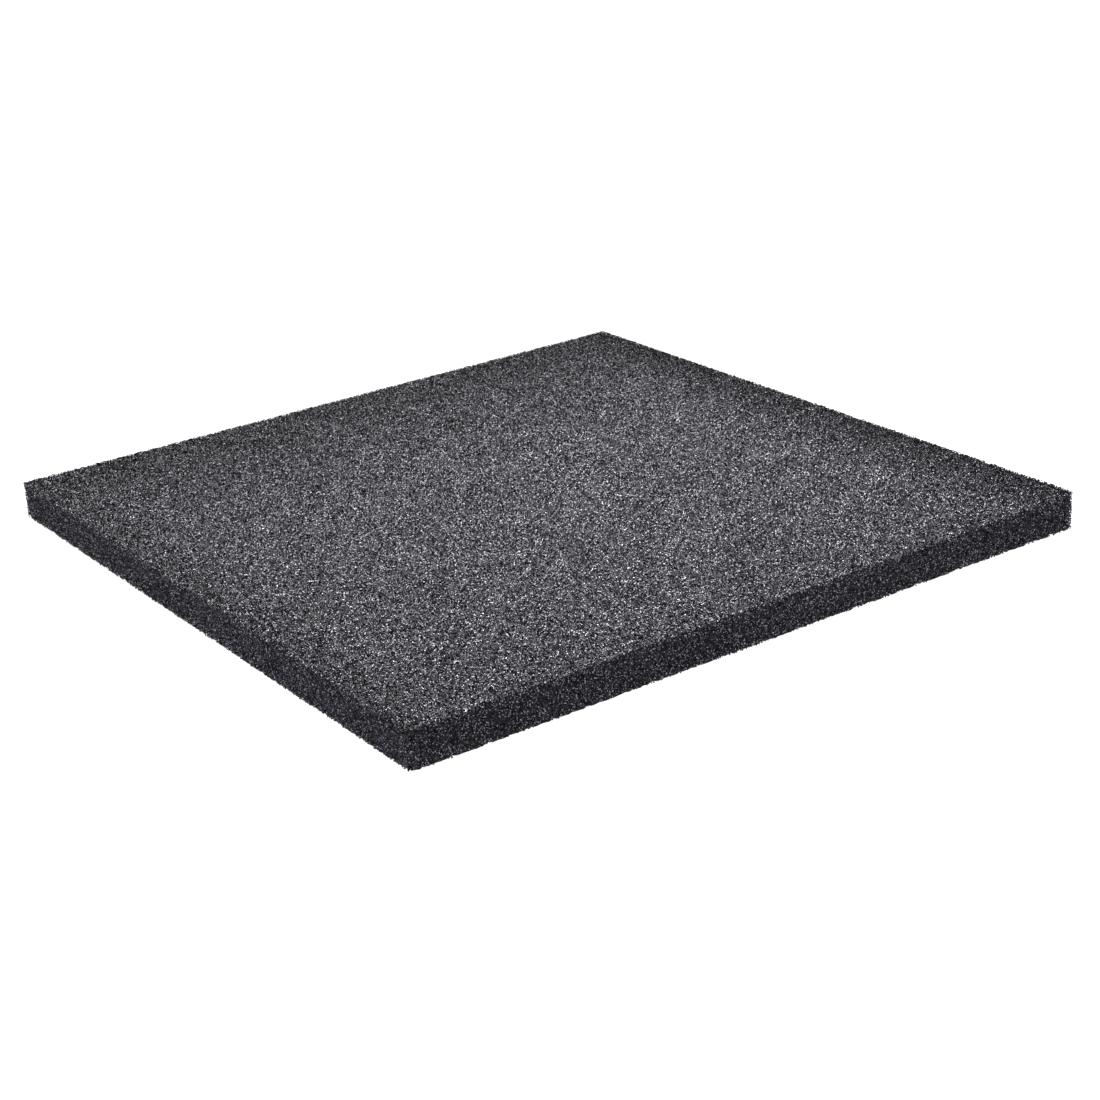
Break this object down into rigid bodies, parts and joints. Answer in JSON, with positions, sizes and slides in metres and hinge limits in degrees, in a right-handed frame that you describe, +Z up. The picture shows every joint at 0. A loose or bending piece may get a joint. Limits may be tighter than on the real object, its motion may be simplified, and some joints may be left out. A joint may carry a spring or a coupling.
{
  "type": "rubber floor tile",
  "caption": "Square slab of bonded black rubber crumb, laid loose or glued as a resilient, slip-resistant floor or paving tile.",
  "frame": {"origin": "centre of the tile's underside, on the floor it lies on", "axes": "+Z up, out of the walking face; +X and +Y along the tile's sides"},
  "size_m": [0.5, 0.5, 0.025],
  "materials": {
    "rubber_crumb": "matte"
  },
  "bodies": {
    "root": {"rubber_tile": "rubber_crumb"}
  },
  "joints": []
}
